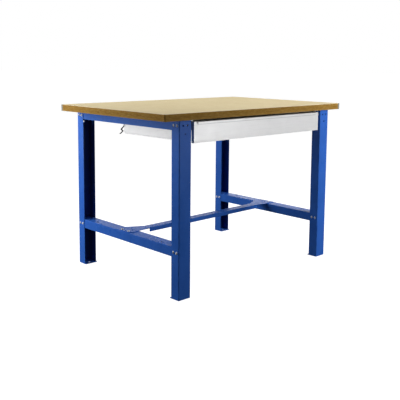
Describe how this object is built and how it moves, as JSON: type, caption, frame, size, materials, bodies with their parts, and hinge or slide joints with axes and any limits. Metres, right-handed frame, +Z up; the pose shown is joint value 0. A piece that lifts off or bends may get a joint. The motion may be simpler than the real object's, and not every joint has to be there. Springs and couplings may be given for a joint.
{
  "type": "workbench",
  "caption": "Steel-framed workbench with a thick board worktop, folded channel legs tied by side rails and a stretcher, and a wide drawer on ball-bearing slides.",
  "frame": {"origin": "on the floor, at the centre of the bench's plan", "axes": "+X along the width, -Y towards the side the drawer opens on, +Z up"},
  "size_m": [1.25, 0.8, 0.83],
  "materials": {
    "board": "lacquered particle board, golden brown edges",
    "blue_paint": "semi-gloss powder coat",
    "drawer_paint": "pale grey semi-gloss paint",
    "zinc": "bright zinc plate",
    "black_steel": "blackened",
    "cage_nylon": "natural"
  },
  "bodies": {
    "bench_frame": {"worktop": "board", "leg_front_left": "blue_paint", "leg_front_right": "blue_paint", "leg_rear_left": "blue_paint", "leg_rear_right": "blue_paint", "foot_plate_front_left": "blue_paint", "foot_plate_front_right": "blue_paint", "foot_plate_rear_left": "blue_paint", "foot_plate_rear_right": "blue_paint", "upper_rail_left": "blue_paint", "upper_rail_right": "blue_paint", "lower_rail_left": "blue_paint", "lower_rail_right": "blue_paint", "lower_stretcher": "blue_paint", "upper_rail_bolts": "zinc", "upper_rail_nuts": "zinc", "lower_rail_bolts": "zinc", "lower_rail_nuts": "zinc", "stretcher_bolts": "zinc", "stretcher_nuts": "zinc", "worktop_screws": "zinc", "slide_bracket_left": "black_steel", "slide_bracket_right": "black_steel", "bracket_screws": "zinc", "slide_outer_left": "zinc", "slide_outer_right": "zinc", "slide_outer_rivets": "zinc", "rear_catch_left": "black_steel", "rear_catch_right": "black_steel", "catch_screws": "zinc"},
    "drawer": {"slide_inner_left": "zinc", "slide_inner_right": "zinc", "drawer_front": "drawer_paint", "drawer_tray": "drawer_paint", "drawer_back": "drawer_paint", "slide_inner_rivets": "zinc", "drawer_back_rivets": "zinc"},
    "middle_member_left": {"slide_middle_left": "zinc"},
    "middle_member_right": {"slide_middle_right": "zinc"},
    "outer_cage_left": {"outer_ball_cage_left": "cage_nylon", "outer_balls_left": "zinc"},
    "outer_cage_right": {"outer_ball_cage_right": "cage_nylon", "outer_balls_right": "zinc"},
    "inner_cage_left": {"inner_ball_cage_left": "cage_nylon", "inner_balls_left": "zinc"},
    "inner_cage_right": {"inner_ball_cage_right": "cage_nylon", "inner_balls_right": "zinc"}
  },
  "joints": [
    {"name": "drawer_slide", "type": "slide", "parent": "bench_frame", "child": "drawer", "axis": [0, -1, 0], "range_m": [0, 0.48]},
    {"name": "middle_member_left_slide", "type": "slide", "parent": "bench_frame", "child": "middle_member_left", "axis": [0, -1, 0], "range_m": [0, 0.24]},
    {"name": "outer_cage_left_slide", "type": "slide", "parent": "bench_frame", "child": "outer_cage_left", "axis": [0, -1, 0], "range_m": [0, 0.12]},
    {"name": "inner_cage_left_slide", "type": "slide", "parent": "bench_frame", "child": "inner_cage_left", "axis": [0, -1, 0], "range_m": [0, 0.36]},
    {"name": "middle_member_right_slide", "type": "slide", "parent": "bench_frame", "child": "middle_member_right", "axis": [0, -1, 0], "range_m": [0, 0.24]},
    {"name": "outer_cage_right_slide", "type": "slide", "parent": "bench_frame", "child": "outer_cage_right", "axis": [0, -1, 0], "range_m": [0, 0.12]},
    {"name": "inner_cage_right_slide", "type": "slide", "parent": "bench_frame", "child": "inner_cage_right", "axis": [0, -1, 0], "range_m": [0, 0.36]}
  ],
  "couplings": [
    {"joint": "middle_member_left_slide", "follows": "drawer_slide", "ratio": 0.5},
    {"joint": "outer_cage_left_slide", "follows": "drawer_slide", "ratio": 0.25},
    {"joint": "inner_cage_left_slide", "follows": "drawer_slide", "ratio": 0.75},
    {"joint": "middle_member_right_slide", "follows": "drawer_slide", "ratio": 0.5},
    {"joint": "outer_cage_right_slide", "follows": "drawer_slide", "ratio": 0.25},
    {"joint": "inner_cage_right_slide", "follows": "drawer_slide", "ratio": 0.75}
  ]
}
